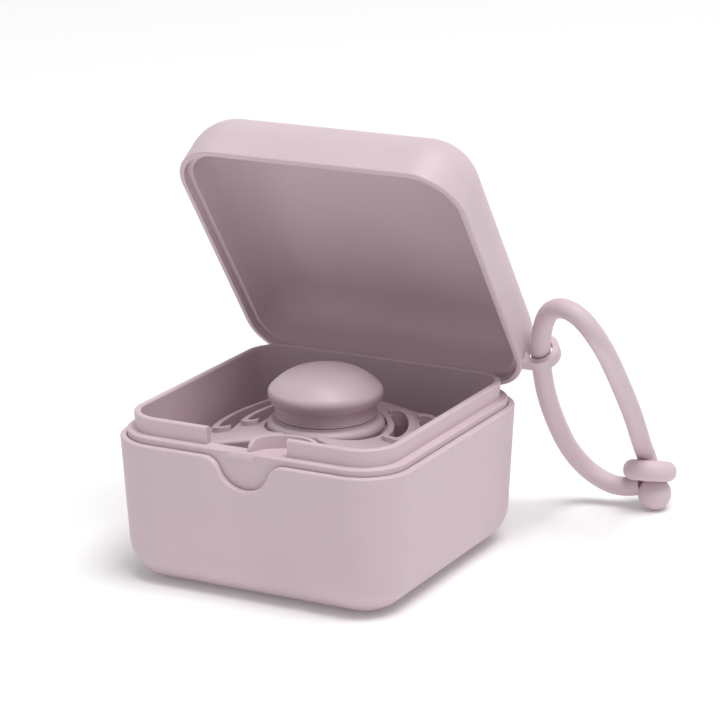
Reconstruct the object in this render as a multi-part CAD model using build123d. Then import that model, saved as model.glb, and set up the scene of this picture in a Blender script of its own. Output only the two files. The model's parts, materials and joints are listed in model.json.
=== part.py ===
"""A small square storage box for one pacifier, lid open, with the pacifier in it.

Millimetres. +Z is up, -Y is the front with the thumb scallop, and the hinge is at the back.
The origin is the centre of the flat bottom. The lid stands open, as the box is usually shown.
The lid's pieces are built closed and then turned about the hinge pin.
"""
from build123d import *
import math
import os

# Outside of the closed box
box_width = 65.0
corner_radius = 11.0
parting_height = 30.0
lid_height = 15.4
base_draft = 3.3
lid_draft = 2.1
bottom_edge_radius = 8.6
lid_edge_radius = 9.9
lip_radius = 0.35

# Outer shell of the base
shell_wall = 1.3
shell_floor = 1.4
shell_inner_edge_radius = 6.8
layer_gap = 0.1

# Inner liner of the base
band_rise = 1.4
band_skirt = 13.4
ledge_width = 1.5
rim_height = 5.0
rim_wall = 1.4
liner_floor = 1.4
liner_edge_radius = 5.4
rim_round = 0.45
band_edge_round = 0.3

# Thumb scallop, the cut in the rim behind it, and the catch bump
scallop_x = 0.3
scallop_radius = 6.0
scallop_centre_drop = 0.2
scallop_shoulder_radius = 3.5
rim_cut_left = -9.2
rim_cut_right = 8.9
catch_x = -0.5
catch_width = 5.8
catch_proud = 0.25
catch_slope_height = 0.6

# Finger tab behind the rim cut: a shelf inside a low round wall
tab_x = 8.2
tab_centre_inset = 0.87
tab_front_inset = 2.65
tab_radius = 7.3
tab_wall = 0.8
tab_wall_rise = 2.6
tab_end_round = 2.3
tab_shelf_thickness = 0.9

# Lid
lid_wall = 1.1
lid_top_wall = 1.3
lid_lining_wall = 1.2
lid_lining_seat = 0.1
lid_cavity_edge_radius = 8.7
lid_lining_cavity_edge_radius = 7.3
lid_open_angle = 55.07

# Hinge
hinge_axis_behind_back = 0.7
hinge_axis_above_parting = 0.2
hinge_width = 24.0
lid_knuckle_width = 9.8
knuckle_radius = 1.75
knuckle_side_gap = 0.3
knuckle_swing_gap = 0.35
pin_radius = 0.75
pin_running_gap = 0.05

# Ear for the strap on the right wall of the lid, placed on the closed lid
ear_hole_from_wall = 2.3
ear_hole_forward_of_hinge = 8.7
ear_hole_above_hinge = 4.3
ear_hole_gap = 0.7
ear_ring_wall = 1.25
ear_thickness = 2.4

# Strap: a round silicone cord with an eyelet at one end and a ball at the other
strap_diameter = 4.1
eyelet_radius = 5.7
eyelet_thickness = 4.4
eyelet_edge_round = 2.0
eyelet_x = 49.0
eyelet_y = 56.9
eyelet_height = 8.6
eyelet_lean_back = 17.0
eyelet_lean_left = 4.0
ball_x = 50.1
ball_y = 57.1
ball_radius = 3.6
ball_flat = 0.05

# Pacifier, standing on its teat in the box
pacifier_x = 1.1
pacifier_y = 0.4
pacifier_turn = 5.0
teat_floor_gap = 0.3
shield_side_room = 2.4
shield_crown_above_parting = 0.1
shield_thickness = 2.2
shield_bend_radius = 26.0
shield_bend_half_angle = 11.5
shield_front_y = -15.0
shield_front_radius = 9.1
shield_back_y = 16.5
shield_back_radius = 10.6
shield_back_inset = 0.4
shield_notch_depth = 12.4
shield_notch_radius = 17.0
shield_notch_end_radius = 6.0
shield_gap_width = 7.8
shield_edge_round = 0.6
outer_slot_inset = 4.9
slot_spacing = 5.5
slot_width = 3.0
slot_lip_width = 1.4
slot_lip_height = 1.0
slot_lip_round = 0.6
outer_slot_front_angle = -12.0
outer_slot_back_angle = 34.0
inner_slot_front_angle = -4.0
inner_slot_back_angle = 40.0
collar_seat_drop = 2.7
collar_seat_gap = 0.55
collar_seat_thickness = 1.8
collar_seat_wall = 0.9
collar_ring_radius = 12.05
collar_ring_height = 2.65
collar_ring_foot_radius = 10.6
collar_top_rise = 0.5
plug_radius = 8.8
plug_height = 5.0
plug_gap = 0.1
stem_radius = 5.0
stem_gap = 0.05
stem_length = 4.0
cap_seam_gap = 0.2
cap_radius = 11.8
cap_neck_radius = 10.35
cap_neck_height = 2.65
cap_under_height = 2.05
cap_shoulder_radius = 11.0
cap_shoulder_height = 1.6
cap_dome_height = 5.4
cap_room_height = 5.2
teat_flange_radius = 8.6
teat_flange_thickness = 1.2
teat_neck_wall = 1.3
teat_neck_length = 7.0
teat_bulb_radius = 8.4
teat_wall = 1.3

# Places worked out from the sizes above
half_width = box_width / 2
band_inset = shell_wall + layer_gap
rim_inset = band_inset + ledge_width
liner_inside_inset = rim_inset + rim_wall
ledge_height = parting_height + band_rise
rim_top = parting_height + rim_height
liner_floor_top = shell_floor + liner_floor
hinge_y = half_width + hinge_axis_behind_back
hinge_z = parting_height + hinge_axis_above_parting
hinge_line = Axis((0, hinge_y, hinge_z), (1, 0, 0))
lining_bottom = ledge_height + lid_lining_seat
lid_top = parting_height + lid_height
lining_top = lid_top - lid_top_wall
shield_crown_height = parting_height + shield_crown_above_parting
shield_half_width = half_width - liner_inside_inset - shield_side_room
outer_slot_radius = shield_half_width - outer_slot_inset
inner_slot_radius = outer_slot_radius - slot_spacing
collar_seat_height = shield_crown_height - collar_seat_drop
collar_seat_radius = collar_ring_radius + collar_seat_gap
shield_underside = collar_seat_height - collar_seat_thickness
collar_top = shield_crown_height + collar_top_rise
cap_bottom = collar_top + cap_seam_gap
cap_widest = cap_bottom + cap_neck_height + cap_under_height

LOW = (Align.CENTER, Align.CENTER, Align.MIN)


def square(inset, height):
    """The box's rounded square outline at a height, drawn in by inset."""
    width = box_width - 2 * inset
    return Pos(0, 0, height) * RectangleRounded(width, width, corner_radius - inset)


def edges_at(solid, height):
    """The edges of a solid that lie in one level plane."""
    close = 0.001
    return [e for e in solid.edges() if max(abs(v.Z - height) for v in (e @ 0, e @ 0.5, e @ 1)) < close]


def tub(inset, top, bottom, draft, edge_radius):
    """A closed block that narrows downwards and has a round bottom edge."""
    block = extrude(square(inset, top), amount=-(top - bottom), taper=draft)
    return fillet(edges_at(block, bottom), edge_radius)


def dome(inset, bottom, top, draft, edge_radius):
    """A closed block that narrows upwards and has a round top edge."""
    block = extrude(square(inset, bottom), amount=top - bottom, taper=draft)
    return fillet(edges_at(block, top), edge_radius)


def open_lid(piece):
    """A piece of the closed lid, turned about the hinge pin to where the lid stands."""
    return piece.rotate(hinge_line, -lid_open_angle)


def barrel(radius, x_from, x_to):
    """A cylinder round the hinge pin's axis, from one place on it to another."""
    return Pos(x_from, hinge_y, hinge_z) * Rot(0, 90, 0) * Cylinder(radius, x_to - x_from, align=LOW)


def base_knuckle_spans():
    """Where the base's two knuckles lie along the hinge."""
    inner = lid_knuckle_width / 2 + knuckle_side_gap
    outer = hinge_width / 2
    return [(-outer, -inner), (inner, outer)]


def lid_knuckle_spans():
    """Where the lid's one knuckle lies along the hinge."""
    return [(-lid_knuckle_width / 2, lid_knuckle_width / 2)]


def with_knuckles(shell, own_spans, other_spans):
    """A shell with its own knuckles, the pin's bore, and room for the other shell's knuckles."""
    for x_from, x_to in other_spans:
        shell -= barrel(knuckle_radius + knuckle_swing_gap, x_from - knuckle_side_gap, x_to + knuckle_side_gap)
    for x_from, x_to in own_spans:
        shell += barrel(knuckle_radius, x_from, x_to)
    return shell - barrel(pin_radius + pin_running_gap, -hinge_width, hinge_width)


def scallop_outline():
    """The thumb scallop seen from the front: a round bottom between two round shoulders."""
    centre_z = parting_height - scallop_centre_drop
    shoulder_z = parting_height - scallop_shoulder_radius
    reach = scallop_radius + scallop_shoulder_radius
    shoulder_x = math.sqrt(reach**2 - (centre_z - shoulder_z) ** 2)
    share = scallop_radius / reach
    touch = (shoulder_x * share, centre_z - (centre_z - shoulder_z) * share)
    touch_angle = math.atan2(touch[1] - shoulder_z, touch[0] - shoulder_x)
    middle_angle = (math.pi / 2 + touch_angle) / 2
    middle = (
        shoulder_x + scallop_shoulder_radius * math.cos(middle_angle),
        shoulder_z + scallop_shoulder_radius * math.sin(middle_angle),
    )
    right = ThreePointArc((shoulder_x, parting_height), middle, touch)
    bottom = ThreePointArc(touch, (0, centre_z - scallop_radius), (-touch[0], touch[1]))
    left = ThreePointArc((-touch[0], touch[1]), (-middle[0], middle[1]), (-shoulder_x, parting_height))
    above = Polyline(
        (-shoulder_x, parting_height), (-shoulder_x, rim_top), (shoulder_x, rim_top), (shoulder_x, parting_height)
    )
    return Pos(scallop_x, 0, 0) * Plane.XZ * make_face([right, bottom, left, *above.edges()])


def outer_lip(solid):
    """The edges of a shell's outer lip, with those of the thumb scallop."""
    scallop_bottom = parting_height - scallop_centre_drop - scallop_radius
    inside = half_width - shell_wall / 2
    corner_reach = (half_width - corner_radius) * math.sqrt(2) + corner_radius - shell_wall / 2
    found = []
    for edge in solid.edges():
        ends = (edge @ 0, edge @ 0.5, edge @ 1)
        highest = max(v.Z for v in ends)
        lowest = min(v.Z for v in ends)
        middle = ends[1]
        on_side = max(abs(middle.X), abs(middle.Y)) > inside
        on_corner = math.hypot(middle.X, middle.Y) > corner_reach
        near_top = scallop_bottom - lip_radius < lowest and highest < parting_height + lip_radius
        if near_top and (on_side or on_corner):
            found.append(edge)
    return found


def make_outer_shell():
    """The outside of the base, with the thumb scallop and two hinge knuckles."""
    shell = tub(0, parting_height, 0, base_draft, bottom_edge_radius)
    shell -= tub(shell_wall, parting_height, shell_floor, base_draft, shell_inner_edge_radius)
    behind_wall = half_width - 2 * band_inset
    shell -= Pos(0, -behind_wall, 0) * extrude(scallop_outline(), amount=3 * band_inset)
    shell = fillet(outer_lip(shell), lip_radius)
    return with_knuckles(shell, base_knuckle_spans(), lid_knuckle_spans())


def make_finger_tab():
    """The shelf behind the cut in the rim, inside a low round wall with round ends."""
    middle = Pos(tab_x, -(half_width - tab_centre_inset), 0)
    front = -(half_width - tab_front_inset)
    shelf_bottom = ledge_height - tab_shelf_thickness
    room = Box(box_width, half_width, tab_shelf_thickness + tab_wall_rise, align=(Align.CENTER, Align.MIN, Align.MIN))
    room = Pos(0, front, shelf_bottom) * room
    front_edges = [e for e in edges_at(room, ledge_height + tab_wall_rise) if e.center().Y < front + tab_wall]
    room = fillet(front_edges, tab_end_round)
    behind_rim = Box(half_width, rim_wall, rim_height, align=(Align.MIN, Align.MIN, Align.MIN))
    room -= Pos(rim_cut_right, front, shelf_bottom) * behind_rim
    disc = middle * extrude(Circle(tab_radius + tab_wall), amount=rim_top)
    above_shelf = middle * extrude(Circle(tab_radius), amount=rim_top)
    return room & disc - Pos(0, 0, ledge_height) * above_shelf


def make_catch():
    """The small wedge on the band that the lid's front wall passes, with a sloping top."""
    face = -(half_width - band_inset)
    behind = face + ledge_width / 2
    section = Polyline(
        (behind, parting_height),
        (face, parting_height),
        (face - catch_proud, parting_height + catch_proud),
        (face - catch_proud, ledge_height - catch_slope_height),
        (face, ledge_height),
        (behind, ledge_height),
        (behind, parting_height),
    )
    return Pos(catch_x, 0, 0) * extrude(Plane.YZ * make_face(section.edges()), amount=catch_width / 2, both=True)


def make_inner_liner():
    """The inside of the base: floor, walls, the band under the lid and the raised rim."""
    liner = tub(rim_inset, rim_top, shell_floor, base_draft, liner_edge_radius)
    band = extrude(square(band_inset, ledge_height), amount=-(band_rise + band_skirt), taper=base_draft)
    liner += fillet(edges_at(band, ledge_height), band_edge_round)
    room_edge_radius = liner_edge_radius - rim_wall
    liner -= tub(liner_inside_inset, rim_top, liner_floor_top, base_draft, room_edge_radius)
    liner = fillet(edges_at(liner, rim_top), rim_round)
    cut_depth = 2 * (rim_wall + rim_round)
    rim_cut = Box(rim_cut_right - rim_cut_left, cut_depth, rim_height, align=LOW)
    liner -= Pos((rim_cut_left + rim_cut_right) / 2, -(half_width - rim_inset), ledge_height) * rim_cut
    return liner + make_finger_tab() + make_catch()


def at_ear(piece):
    """A piece made round the Z axis, put round the axis of the ear's hole."""
    place = Pos(half_width + ear_hole_from_wall, hinge_y - ear_hole_forward_of_hinge, hinge_z + ear_hole_above_hinge)
    return place * Rot(90, 0, 0) * piece


def make_ear():
    """The ring on the lid's right wall that the strap runs through, before its hole."""
    radius = strap_diameter / 2 + ear_hole_gap + ear_ring_wall
    root_length = ear_hole_from_wall + 2 * lid_wall
    root = Box(root_length, 2 * radius, ear_thickness, align=(Align.MAX, Align.CENTER, Align.CENTER))
    return at_ear(Cylinder(radius, ear_thickness) + root)


def make_lid_shell():
    """The outside of the lid, with its hinge knuckle and the ear for the strap."""
    shell = dome(0, parting_height, lid_top, lid_draft, lid_edge_radius) + make_ear()
    shell -= dome(lid_wall, parting_height, lining_top, lid_draft, lid_cavity_edge_radius)
    shell = fillet(outer_lip(shell), lip_radius)
    shell = with_knuckles(shell, lid_knuckle_spans(), base_knuckle_spans())
    return open_lid(shell - at_ear(Cylinder(strap_diameter / 2 + ear_hole_gap, 2 * ear_thickness)))


def make_lid_lining():
    """The inside of the lid, whose lower edge rests over the ledge when the lid is shut."""
    outer_inset = lid_wall + layer_gap
    inner_inset = outer_inset + lid_lining_wall
    lining = dome(outer_inset, lining_bottom, lining_top, lid_draft, lid_cavity_edge_radius)
    inner_top = lining_top - lid_lining_wall
    lining -= dome(inner_inset, lining_bottom, inner_top, lid_draft, lid_lining_cavity_edge_radius)
    return open_lid(lining)


def make_hinge_pin():
    """The pin through all three knuckles."""
    return barrel(pin_radius, -hinge_width / 2, hinge_width / 2)


def strap_points():
    """The strap's route: from under the eyelet up through the ear, over, and down through the eyelet."""
    return [
        (47.0, 56.9, 5.0),
        (42.5, 56.4, 3.6),
        (36.2, 54.9, 6.6),
        (33.0, 50.6, 12.7),
        (32.1, 45.3, 20.4),
        (32.3, 39.8, 28.2),
        (33.7, 34.3, 35.9),
        (35.8, 29.2, 43.0),
        (38.2, 25.5, 48.4),
        (40.6, 23.8, 51.8),
        (44.6, 22.2, 53.0),
        (48.6, 21.8, 51.1),
        (51.1, 23.7, 46.7),
        (50.4, 31.4, 40.3),
        (49.0, 45.2, 26.6),
        (48.3, 51.5, 19.3),
        (47.8, 55.7, 14.0),
        (47.9, 58.2, 10.9),
        (49.8, 57.2, 5.6),
    ]


def arc_radii(points):
    """The radius of the arc at each corner of a route, as large as its two runs allow."""
    radii = []
    for before, here, after in zip(points, points[1:], points[2:]):
        turn = math.radians((here - before).get_angle(after - here))
        shorter = min((here - before).length, (after - here).length)
        radii.append(0.45 * shorter / math.tan(turn / 2))
    return radii


def make_strap_cord():
    """The round silicone cord of the strap."""
    points = [Vector(*p) for p in strap_points()]
    radii = arc_radii(points)
    path = FilletPolyline(*points, radius=radii)
    section = Plane(origin=points[0], z_dir=points[1] - points[0]) * Circle(strap_diameter / 2)
    cord = sweep(section, path=path)
    full_volume = math.pi * strap_diameter**2 / 4 * path.length
    print("strap radii", [round(r, 1) for r in radii])
    print("strap length", round(path.length, 1), "volume share", round(cord.volume / full_volume, 4))
    return cord


def make_strap_ball(strap_cord):
    """The ball that locks the strap, standing on a small flat."""
    above_ground = Pos(ball_x, ball_y, 0) * Box(4 * ball_radius, 4 * ball_radius, 4 * ball_radius, align=LOW)
    ball = Pos(ball_x, ball_y, ball_radius - ball_flat) * Sphere(ball_radius) & above_ground
    return ball - strap_cord


def make_strap_eyelet(strap_cord):
    """The thick round eyelet on top of the ball, which the cord comes down through."""
    disc = Cylinder(eyelet_radius, eyelet_thickness)
    disc = fillet(disc.edges().filter_by(GeomType.CIRCLE), eyelet_edge_round)
    disc = Pos(eyelet_x, eyelet_y, eyelet_height) * Rot(-eyelet_lean_back, -eyelet_lean_left, 0) * disc
    return disc - strap_cord - Pos(ball_x, ball_y, ball_radius - ball_flat) * Sphere(ball_radius)


def place_pacifier(piece):
    """A piece made round the Z axis, put where the pacifier stands in the box."""
    return Pos(pacifier_x, pacifier_y, 0) * Rot(0, 0, pacifier_turn) * piece


def bend_line(height):
    """The shield's bent section from side to side: a round middle between two straight slopes."""
    centre = shield_crown_height - shield_bend_radius
    radius = height - centre
    slope = math.radians(shield_bend_half_angle)
    touch_x = radius * math.sin(slope)
    touch_z = centre + radius * math.cos(slope)
    end_z = touch_z - (half_width - touch_x) * math.tan(slope)
    left = Line((-half_width, end_z), (-touch_x, touch_z))
    crown = ThreePointArc((-touch_x, touch_z), (0, height), (touch_x, touch_z))
    right = Line((touch_x, touch_z), (half_width, end_z))
    return left, crown, right


def bent_slab(bottom, top):
    """A wide slab that bends down towards both sides, given its heights at the middle."""
    upper = bend_line(top)
    lower = bend_line(bottom)
    left_end = Line(lower[0] @ 0, upper[0] @ 0)
    right_end = Line(upper[2] @ 1, lower[2] @ 1)
    outline = make_face([*upper, *lower, left_end, right_end])
    return extrude(Plane.XZ * outline, amount=box_width, both=True)


def shield_outline():
    """The shield from above: a rounded oblong with a shallow notch in front for the nose."""
    front_x = shield_half_width
    back_x = shield_half_width - shield_back_inset
    corners = [
        (-front_x, shield_front_y),
        (front_x, shield_front_y),
        (back_x, shield_back_y),
        (-back_x, shield_back_y),
        (-front_x, shield_front_y),
    ]
    outline = make_face(Polyline(*corners))
    outline = fillet([v for v in outline.vertices() if v.Y < 0], shield_front_radius)
    outline = fillet([v for v in outline.vertices() if v.Y > shield_back_y / 2], shield_back_radius)
    outline -= Pos(0, -(shield_notch_depth + shield_notch_radius)) * Circle(shield_notch_radius)
    notch_ends = [v for v in outline.vertices() if v.Y < 0 and abs(v.X) < shield_half_width / 2]
    return fillet(notch_ends, shield_notch_end_radius)


def upper_rim(plate):
    """The edges round the upper side of a plate, which only one of its upward faces has."""
    upward = 0.5
    close = 0.001
    faces = [f for f in plate.faces() if f.normal_at(f.center()).Z > upward]
    edges = [e for f in faces for e in f.edges()]
    return [e for e in edges if len([o for o in edges if (o @ 0.5 - e @ 0.5).length < close]) == 1]


def arc_slot(radius, front_angle, back_angle, width):
    """One arc slot on the right side."""
    return SlotArc(CenterArc((0, 0), radius, front_angle, back_angle - front_angle), width)


def slot_lip(radius, front_angle, back_angle):
    """The rounded raised lip on the outer side and round both ends of one arc slot on the right side."""
    tall = 2 * shield_crown_height
    raised = bent_slab(shield_crown_height - slot_lip_height, shield_crown_height + slot_lip_height)
    ring = arc_slot(radius, front_angle, back_angle, slot_width + 2 * slot_lip_width)
    ring -= arc_slot(radius, front_angle, back_angle, slot_width)
    ring -= Circle(radius - slot_width / 2 + slot_lip_round / 2)
    lip = extrude(ring, amount=tall) & raised
    top_face = lip.faces().sort_by(Axis.Z)[-1]
    return fillet(top_face.edges(), slot_lip_round)


def make_pacifier_shield():
    """The bent shield, with four air slots that have rounded lips, and a round seat for the collar."""
    tall = 2 * shield_crown_height
    underside = shield_crown_height - shield_thickness
    shield = extrude(shield_outline(), amount=tall) & bent_slab(underside, shield_crown_height)
    shield = fillet(upper_rim(shield), shield_edge_round)
    seat_height = underside - shield_underside
    shield += Pos(0, 0, shield_underside) * Cylinder(collar_seat_radius + collar_seat_wall, seat_height, align=LOW)
    inner = (inner_slot_radius, inner_slot_front_angle, inner_slot_back_angle)
    outer = (outer_slot_radius, outer_slot_front_angle, outer_slot_back_angle)
    for place in (inner, outer):
        slot = extrude(arc_slot(*place, slot_width), amount=tall)
        lip = slot_lip(*place)
        shield = shield - slot - mirror(slot, about=Plane.YZ) + lip + mirror(lip, about=Plane.YZ)
    shield -= Pos(0, 0, collar_seat_height) * Cylinder(collar_seat_radius, tall, align=LOW)
    front_gap = Box(shield_gap_width, 2 * shield_thickness, tall, align=LOW)
    shield -= Pos(0, -collar_seat_radius, collar_seat_height) * front_gap
    return place_pacifier(shield - Cylinder(stem_radius + stem_gap, 2 * tall))


def revolved(edges):
    """A round solid from half of its outline, drawn in the plane of X and Z."""
    return revolve(Plane.XZ * make_face(edges), Axis.Z)


def make_pacifier_collar():
    """The round ring in the shield's seat, with its stem into the teat and its plug up into the cap."""
    low = shield_underside - stem_length
    foot = collar_seat_height
    ring_top = foot + collar_ring_height
    ring_middle = foot + collar_ring_height / 2
    ring = ThreePointArc((collar_ring_foot_radius, foot), (collar_ring_radius, ring_middle), (cap_neck_radius, ring_top))
    above = Polyline(
        (cap_neck_radius, ring_top),
        (cap_neck_radius, collar_top),
        (plug_radius, collar_top),
        (plug_radius, collar_top + plug_height),
        (0, collar_top + plug_height),
        (0, low),
        (stem_radius, low),
        (stem_radius, foot),
        (collar_ring_foot_radius, foot),
    )
    return place_pacifier(revolved([ring, *above.edges()]))


def make_pacifier_cap():
    """The domed cap with a rolled rim that a hand holds, snapped over the plug."""
    room_radius = plug_radius + plug_gap
    room_top = cap_bottom + cap_room_height
    neck_top = cap_bottom + cap_neck_height
    dome_top = cap_widest + cap_dome_height
    sides = Polyline(
        (0, dome_top),
        (0, room_top),
        (room_radius, room_top),
        (room_radius, cap_bottom),
        (cap_neck_radius, cap_bottom),
        (cap_neck_radius, neck_top),
    )
    under = Spline((cap_neck_radius, neck_top), (cap_radius, cap_widest), tangents=[(1, 0.4), (0, 1)])
    shoulder = (cap_shoulder_radius, cap_widest + cap_shoulder_height)
    top = Spline((cap_radius, cap_widest), shoulder, (0, dome_top), tangents=[(0, 1), (-1, 0)])
    return place_pacifier(revolved([*sides.edges(), under, top]))


def teat_outline(shrink, neck_radius, top):
    """Half of the teat's outline, drawn in by shrink: a neck and a round bulb below it."""
    neck_low = shield_underside - teat_neck_length
    tip = liner_floor_top + teat_floor_gap + shrink
    bulb_radius = teat_bulb_radius - shrink
    bulb_centre = tip + bulb_radius
    slant = math.radians(45)
    neck = Line((neck_radius, top), (neck_radius, neck_low))
    shoulder = Spline((neck_radius, neck_low), (bulb_radius, bulb_centre), tangents=[(0, -1), (0, -1)])
    lowest = ThreePointArc(
        (bulb_radius, bulb_centre),
        (bulb_radius * math.cos(slant), bulb_centre - bulb_radius * math.sin(slant)),
        (0, tip),
    )
    inside = Polyline((0, tip), (0, top), (neck_radius, top))
    return [*neck.edges(), *shoulder.edges(), *lowest.edges(), *inside.edges()]


def make_pacifier_teat():
    """The hollow soft teat, whose flange lies under the shield."""
    room_radius = stem_radius + stem_gap
    flange_top = shield_underside
    flange = Pos(0, 0, flange_top - teat_flange_thickness) * Cylinder(
        teat_flange_radius, teat_flange_thickness, align=LOW
    )
    teat = revolved(teat_outline(0, room_radius + teat_neck_wall, flange_top)) + flange
    teat -= revolved(teat_outline(teat_wall, room_radius, flange_top))
    return place_pacifier(teat)


strap_cord = make_strap_cord()
nodes = {
    "outer_shell": make_outer_shell(),
    "inner_liner": make_inner_liner(),
    "lid_shell": make_lid_shell(),
    "lid_lining": make_lid_lining(),
    "hinge_pin": make_hinge_pin(),
    "strap_cord": strap_cord,
    "strap_eyelet": make_strap_eyelet(strap_cord),
    "strap_ball": make_strap_ball(strap_cord),
    "pacifier_shield": make_pacifier_shield(),
    "pacifier_collar": make_pacifier_collar(),
    "pacifier_cap": make_pacifier_cap(),
    "pacifier_teat": make_pacifier_teat(),
}

os.makedirs("parts", exist_ok=True)
for name, piece in nodes.items():
    export_step(piece, f"parts/{name}.step")
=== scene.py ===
"""The looks of the pacifier box: its moulded plastic, its silicone strap and the studio round it.

Metres, in the same frame as the CAD part: +Z up, -Y the front, the origin under the box's middle.
"""

import json
import math

import bpy
from mathutils import Matrix, Vector


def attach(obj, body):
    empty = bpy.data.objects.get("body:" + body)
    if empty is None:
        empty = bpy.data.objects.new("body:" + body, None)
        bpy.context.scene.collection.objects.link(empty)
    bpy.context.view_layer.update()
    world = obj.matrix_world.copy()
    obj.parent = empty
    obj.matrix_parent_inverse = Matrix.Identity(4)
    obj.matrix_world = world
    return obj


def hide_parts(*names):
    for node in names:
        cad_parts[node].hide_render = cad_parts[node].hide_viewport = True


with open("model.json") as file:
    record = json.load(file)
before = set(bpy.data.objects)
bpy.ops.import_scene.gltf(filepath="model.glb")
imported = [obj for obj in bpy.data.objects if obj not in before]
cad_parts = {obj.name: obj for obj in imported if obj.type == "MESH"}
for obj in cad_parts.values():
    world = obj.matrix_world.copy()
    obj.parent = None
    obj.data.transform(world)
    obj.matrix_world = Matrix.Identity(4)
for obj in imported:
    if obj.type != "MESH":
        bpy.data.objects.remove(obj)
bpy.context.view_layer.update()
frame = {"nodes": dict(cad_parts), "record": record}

# Colours, as linear red, green and blue
BOX_COLOUR = (0.64, 0.508, 0.553)
BOX_SHADE = (0.61, 0.48, 0.525)
BOX_WORN = (0.69, 0.565, 0.607)
# The pacifier's two pinks are the box's own pinks made a little darker: painted shade for where it lies
# inside the box
PACIFIER_PINK_WITH_PAINTED_SHADE = (0.62, 0.488, 0.532)
PACIFIER_DARK_TONE_WITH_PAINTED_SHADE = (0.585, 0.455, 0.5)
# The strap's two pinks are the box's own pinks made a little paler: painted light for the light the floor
# throws up onto it
STRAP_PINK_WITH_PAINTED_LIGHT = (0.655, 0.522, 0.567)
STRAP_DARK_TONE_WITH_PAINTED_LIGHT = (0.62, 0.49, 0.535)
TEAT_COLOUR = (0.5, 0.27, 0.1)
TEAT_SHADE = (0.4, 0.2, 0.07)
STEEL_COLOUR = (0.56, 0.56, 0.58)
STEEL_SHADE = (0.42, 0.42, 0.44)
FLOOR_COLOUR = (0.93, 0.93, 0.93)
WHITE = (1.0, 1.0, 1.0)

# Roughness of each finish, and how deep its fine grain is
BOX_ROUGHNESS = 0.5
BOX_GRAIN = 0.00002
PACIFIER_ROUGHNESS = 0.45
PACIFIER_GRAIN = 0.000012
STRAP_ROUGHNESS = 0.55
STRAP_GRAIN = 0.000015
TEAT_ROUGHNESS = 0.35
STEEL_ROUGHNESS = 0.3
SMOOTH_GRAIN = 0.00001
FLOOR_ROUGHNESS = 0.9

# Noise in the finishes: features are about 1 / scale metres, and a range is cut out of its 0 to 1
CLOUD_SCALE = 45.0
CLOUD_DETAIL = 3.0
CLOUD_RANGE = (0.35, 0.7)
WEAR_SCALE = 900.0
WEAR_DETAIL = 3.0
WEAR_RANGE = (0.35, 0.65)
WEAR_SHARE = (0.1, 0.6)
SMEAR_SCALE = 160.0
SMEAR_DETAIL = 5.0
SMEAR_RANGE = (0.3, 0.7)
SMEAR_SPREAD = 0.05
GRAIN_SCALE = 3200.0
GRAIN_DETAIL = 2.0
GRAIN_STRENGTH = 0.6
SWELL_SCALE = 110.0
SWELL_DETAIL = 1.0
SWELL_DEPTH = 0.00006
SWELL_STRENGTH = 0.5

# Edges count as worn within this radius, and fully where the normals agree less than this
EDGE_RADIUS = 0.0004
EDGE_SAMPLES = 4
EDGE_AGREEMENT = 0.8

# Numbers of the Mix node's colour sockets, which share their names with its other sockets
MIX_SHARE = 0
MIX_FIRST = 6
MIX_SECOND = 7
MIX_RESULT = 2

# Strap: its round tube is drawn in steps round it and between each two points of its route
STRAP_DIAMETER = 0.0041
STRAP_STEPS_ROUND = 8
STRAP_STEPS_ALONG = 16
STRAP_ROUTE = (
    (0.0470, 0.0569, 0.0050),
    (0.0425, 0.0564, 0.0036),
    (0.0362, 0.0549, 0.0066),
    (0.0330, 0.0506, 0.0127),
    (0.0321, 0.0453, 0.0204),
    (0.0323, 0.0398, 0.0282),
    (0.0337, 0.0343, 0.0359),
    (0.0358, 0.0292, 0.0430),
    (0.0382, 0.0255, 0.0484),
    (0.0406, 0.0238, 0.0518),
    (0.0446, 0.0222, 0.0530),
    (0.0486, 0.0218, 0.0511),
    (0.0511, 0.0237, 0.0467),
    (0.0504, 0.0314, 0.0403),
    (0.0490, 0.0452, 0.0266),
    (0.0483, 0.0515, 0.0193),
    (0.0478, 0.0557, 0.0140),
    (0.0479, 0.0582, 0.0109),
    (0.0498, 0.0572, 0.0056),
)

# Camera, where the photograph was taken from: metres, radians, and millimetres for the lens
CAMERA_TARGET = Vector((0.00937, 0.0, 0.04334))
CAMERA_DISTANCE = 0.6072
CAMERA_ELEVATION = 0.2879
CAMERA_YAW = 0.494
CAMERA_ROLL = -0.0115
CAMERA_LENS = 150.86
CAMERA_NEAR = 0.01
CAMERA_FAR = 20.0
SENSOR_WIDTH = 36.0

# Studio: the glow is how the camera sees the floor, and the bounce is how the floor lights the box
FLOOR_SIZE = 6.0
FLOOR_GLOW = 0.07
FLOOR_BOUNCE = 0.1
WORLD_STRENGTH = 0.38
WORLD_SEEN = 1.0
KEY_PLACE = Vector((0.65, -0.2, 2.5))
KEY_SIZE = 1.5
KEY_POWER = 55.0


def rgba(colour):
    """A colour with full opacity."""
    return (*colour, 1.0)


def feed(tree, socket, value):
    """Links a value that comes from another node, or sets one that doesn't change."""
    if isinstance(value, bpy.types.NodeSocket):
        tree.links.new(value, socket)
    else:
        socket.default_value = value


def node(tree, kind, **inputs):
    """A new shader node with some of its inputs set or linked, by their names."""
    made = tree.nodes.new(kind)
    for name, value in inputs.items():
        feed(tree, made.inputs[name.replace("_", " ")], value)
    return made


def calculated(tree, kind, operation, first, second):
    """A maths node of some kind between two values."""
    made = tree.nodes.new(kind)
    made.operation = operation
    for socket, value in zip(made.inputs, (first, second)):
        feed(tree, socket, value)
    return made


def blend_colours(tree, share, first, second):
    """A colour between two, by a share from 0 to 1."""
    mix = tree.nodes.new("ShaderNodeMix")
    mix.data_type = "RGBA"
    feed(tree, mix.inputs[MIX_SHARE], share)
    feed(tree, mix.inputs[MIX_FIRST], first)
    feed(tree, mix.inputs[MIX_SECOND], second)
    return mix.outputs[MIX_RESULT]


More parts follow.
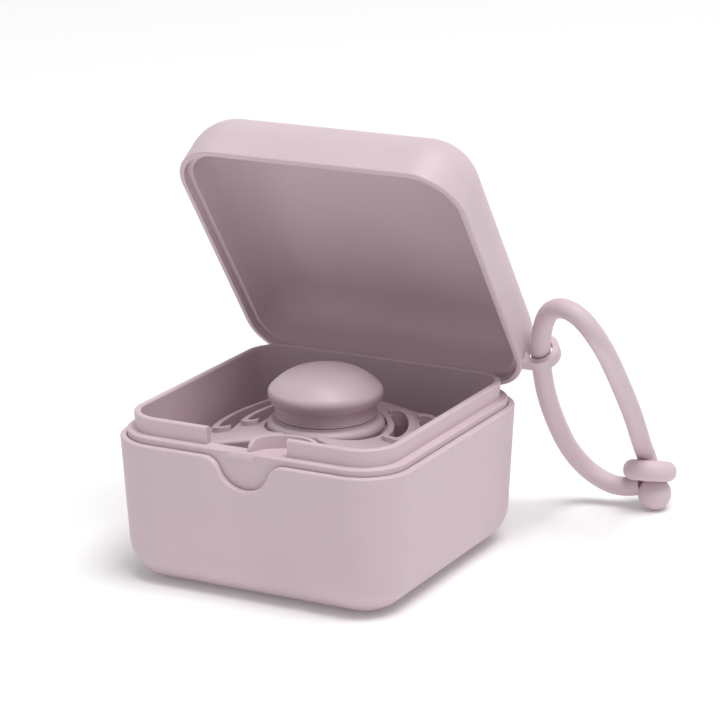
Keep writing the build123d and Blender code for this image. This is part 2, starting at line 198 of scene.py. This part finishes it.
def mapped(tree, value, low, high, to_low, to_high):
    """A value stretched from one range to another and kept inside it."""
    stretch = node(tree, "ShaderNodeMapRange", Value=value)
    stretch.inputs["From Min"].default_value = low
    stretch.inputs["From Max"].default_value = high
    stretch.inputs["To Min"].default_value = to_low
    stretch.inputs["To Max"].default_value = to_high
    return stretch.outputs["Result"]


def noise(tree, place, scale, detail):
    """Cloudy noise at points of the piece, with features of about 1 / scale metres."""
    return node(tree, "ShaderNodeTexNoise", Vector=place, Scale=scale, Detail=detail).outputs["Fac"]


def bumps(tree, height, depth, strength, **under):
    """A surface direction bent by a height, over that of another bump if one is given."""
    bump = node(tree, "ShaderNodeBump", Height=height, Distance=depth, Strength=strength, **under)
    return bump.outputs["Normal"]


def edge_share(tree):
    """About 1 on sharp edges and 0 on flat places."""
    rounded = node(tree, "ShaderNodeBevel", Radius=EDGE_RADIUS)
    rounded.samples = EDGE_SAMPLES
    flat = tree.nodes.new("ShaderNodeNewGeometry")
    alike = calculated(
        tree, "ShaderNodeVectorMath", "DOT_PRODUCT", rounded.outputs["Normal"], flat.outputs["Normal"]
    )
    return mapped(tree, alike.outputs["Value"], 1.0, EDGE_AGREEMENT, 0.0, 1.0)


def moulded(name, colour, shade, worn, roughness, grain, metallic=0.0):
    """A moulded finish: faint clouds of shade, worn edges, patchy gloss and a fine grain."""
    material = bpy.data.materials.new(name)
    material.use_nodes = True
    tree = material.node_tree
    shader = tree.nodes["Principled BSDF"]
    place = tree.nodes.new("ShaderNodeTexCoord").outputs["Object"]

    clouds = mapped(tree, noise(tree, place, CLOUD_SCALE, CLOUD_DETAIL), *CLOUD_RANGE, 0.0, 1.0)
    body = blend_colours(tree, clouds, rgba(colour), rgba(shade))
    broken = mapped(tree, noise(tree, place, WEAR_SCALE, WEAR_DETAIL), *WEAR_RANGE, *WEAR_SHARE)
    edge = calculated(tree, "ShaderNodeMath", "MULTIPLY", edge_share(tree), broken)
    feed(tree, shader.inputs["Base Color"], blend_colours(tree, edge.outputs[0], body, rgba(worn)))

    patches = noise(tree, place, SMEAR_SCALE, SMEAR_DETAIL)
    smears = mapped(tree, patches, *SMEAR_RANGE, roughness - SMEAR_SPREAD, roughness + SMEAR_SPREAD)
    feed(tree, shader.inputs["Roughness"], smears)
    shader.inputs["Metallic"].default_value = metallic

    fine = bumps(tree, noise(tree, place, GRAIN_SCALE, GRAIN_DETAIL), grain, GRAIN_STRENGTH)
    swell = noise(tree, place, SWELL_SCALE, SWELL_DETAIL)
    feed(tree, shader.inputs["Normal"], bumps(tree, swell, SWELL_DEPTH, SWELL_STRENGTH, Normal=fine))
    return material


def make_materials():
    """The finish of each material slot in the record."""
    return {
        "box_plastic": moulded("box_plastic", BOX_COLOUR, BOX_SHADE, BOX_WORN, BOX_ROUGHNESS, BOX_GRAIN),
        "strap_silicone": moulded(
            "strap_silicone", STRAP_PINK_WITH_PAINTED_LIGHT, STRAP_DARK_TONE_WITH_PAINTED_LIGHT, BOX_WORN, STRAP_ROUGHNESS, STRAP_GRAIN
        ),
        "pacifier_plastic": moulded(
            "pacifier_plastic", PACIFIER_PINK_WITH_PAINTED_SHADE, PACIFIER_DARK_TONE_WITH_PAINTED_SHADE, BOX_WORN, PACIFIER_ROUGHNESS, PACIFIER_GRAIN
        ),
        "teat_rubber": moulded(
            "teat_rubber", TEAT_COLOUR, TEAT_SHADE, TEAT_COLOUR, TEAT_ROUGHNESS, SMOOTH_GRAIN
        ),
        "pin_steel": moulded(
            "pin_steel", STEEL_COLOUR, STEEL_SHADE, STEEL_COLOUR, STEEL_ROUGHNESS, SMOOTH_GRAIN, 1.0
        ),
    }


def dress_cad_nodes(materials):
    """Gives every CAD node the finish of its slot in the record."""
    for part in frame["record"]["subparts"]:
        mesh = frame["nodes"][part["node"]].data
        mesh.materials.clear()
        mesh.materials.append(materials[part["material_slot"]])


def make_strap(material):
    """The soft round strap, from under the eyelet, through the ear and back into the ball."""
    line = bpy.data.curves.new("strap_line", "CURVE")
    line.dimensions = "3D"
    spline = line.splines.new("NURBS")
    spline.points.add(len(STRAP_ROUTE) - 1)
    for point, place in zip(spline.points, STRAP_ROUTE):
        point.co = (*place, 1.0)
    spline.order_u = 3
    spline.use_endpoint_u = True
    line.bevel_depth = STRAP_DIAMETER / 2
    line.bevel_resolution = STRAP_STEPS_ROUND
    line.resolution_u = STRAP_STEPS_ALONG
    line.use_fill_caps = True
    line.materials.append(material)
    strap = bpy.data.objects.new("soft_strap", line)
    bpy.context.scene.collection.objects.link(strap)
    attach(strap, "strap")
    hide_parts("strap_cord")


def make_floor():
    """A plain pale floor under the box."""
    mesh = bpy.data.meshes.new("floor")
    half = FLOOR_SIZE / 2
    corners = [(-half, -half, 0.0), (half, -half, 0.0), (half, half, 0.0), (-half, half, 0.0)]
    mesh.from_pydata(corners, [], [(0, 1, 2, 3)])
    floor = bpy.data.objects.new("floor", mesh)
    bpy.context.scene.collection.objects.link(floor)
    material = bpy.data.materials.new("floor_paper")
    material.use_nodes = True
    tree = material.node_tree
    shader = tree.nodes["Principled BSDF"]
    shader.inputs["Base Color"].default_value = rgba(FLOOR_COLOUR)
    shader.inputs["Roughness"].default_value = FLOOR_ROUGHNESS
    shader.inputs["Emission Color"].default_value = rgba(WHITE)
    seen = tree.nodes.new("ShaderNodeLightPath").outputs["Is Camera Ray"]
    feed(tree, shader.inputs["Emission Strength"], mapped(tree, seen, 0.0, 1.0, FLOOR_BOUNCE, FLOOR_GLOW))
    mesh.materials.append(material)


def make_world():
    """Even white light all round, which the camera and mirror rays see as plain white."""
    world = bpy.data.worlds.new("studio")
    bpy.context.scene.world = world
    world.use_nodes = True
    tree = world.node_tree
    tree.nodes.clear()
    path = tree.nodes.new("ShaderNodeLightPath")
    seen = path.outputs["Is Camera Ray"]
    for other in ("Is Glossy Ray", "Is Transmission Ray"):
        seen = calculated(tree, "ShaderNodeMath", "MAXIMUM", seen, path.outputs[other]).outputs[0]
    strength = mapped(tree, seen, 0.0, 1.0, WORLD_STRENGTH, WORLD_SEEN)
    light = node(tree, "ShaderNodeBackground", Color=rgba(WHITE), Strength=strength)
    out = tree.nodes.new("ShaderNodeOutputWorld")
    tree.links.new(light.outputs[0], out.inputs["Surface"])


def make_key_light():
    """One large soft lamp above, a little to the right and the front."""
    lamp = bpy.data.lights.new("key", "AREA")
    lamp.shape = "SQUARE"
    lamp.size = KEY_SIZE
    lamp.energy = KEY_POWER
    key = bpy.data.objects.new("key", lamp)
    key.location = KEY_PLACE
    key.rotation_mode = "QUATERNION"
    key.rotation_quaternion = (CAMERA_TARGET - KEY_PLACE).to_track_quat("-Z", "Y")
    bpy.context.scene.collection.objects.link(key)


def make_camera():
    """The camera at the photograph's place, with its small roll."""
    sin_e, cos_e = math.sin(CAMERA_ELEVATION), math.cos(CAMERA_ELEVATION)
    sin_y, cos_y = math.sin(CAMERA_YAW), math.cos(CAMERA_YAW)
    back = Vector((sin_y * cos_e, -cos_y * cos_e, sin_e))
    level = Vector((cos_y, sin_y, 0.0))
    upward = back.cross(level)
    sin_r, cos_r = math.sin(CAMERA_ROLL), math.cos(CAMERA_ROLL)
    right = cos_r * level + sin_r * upward
    up = cos_r * upward - sin_r * level
    data = bpy.data.cameras.new("camera")
    data.lens = CAMERA_LENS
    data.sensor_width = SENSOR_WIDTH
    data.clip_start = CAMERA_NEAR
    data.clip_end = CAMERA_FAR
    camera = bpy.data.objects.new("camera", data)
    turn = Matrix((right, up, back)).transposed()
    camera.matrix_world = Matrix.Translation(CAMERA_TARGET + CAMERA_DISTANCE * back) @ turn.to_4x4()
    bpy.context.scene.collection.objects.link(camera)
    bpy.context.scene.camera = camera


bpy.context.scene.view_settings.view_transform = "Standard"
materials = make_materials()
dress_cad_nodes(materials)
make_strap(materials["strap_silicone"])
make_floor()
make_world()
make_key_light()
make_camera()
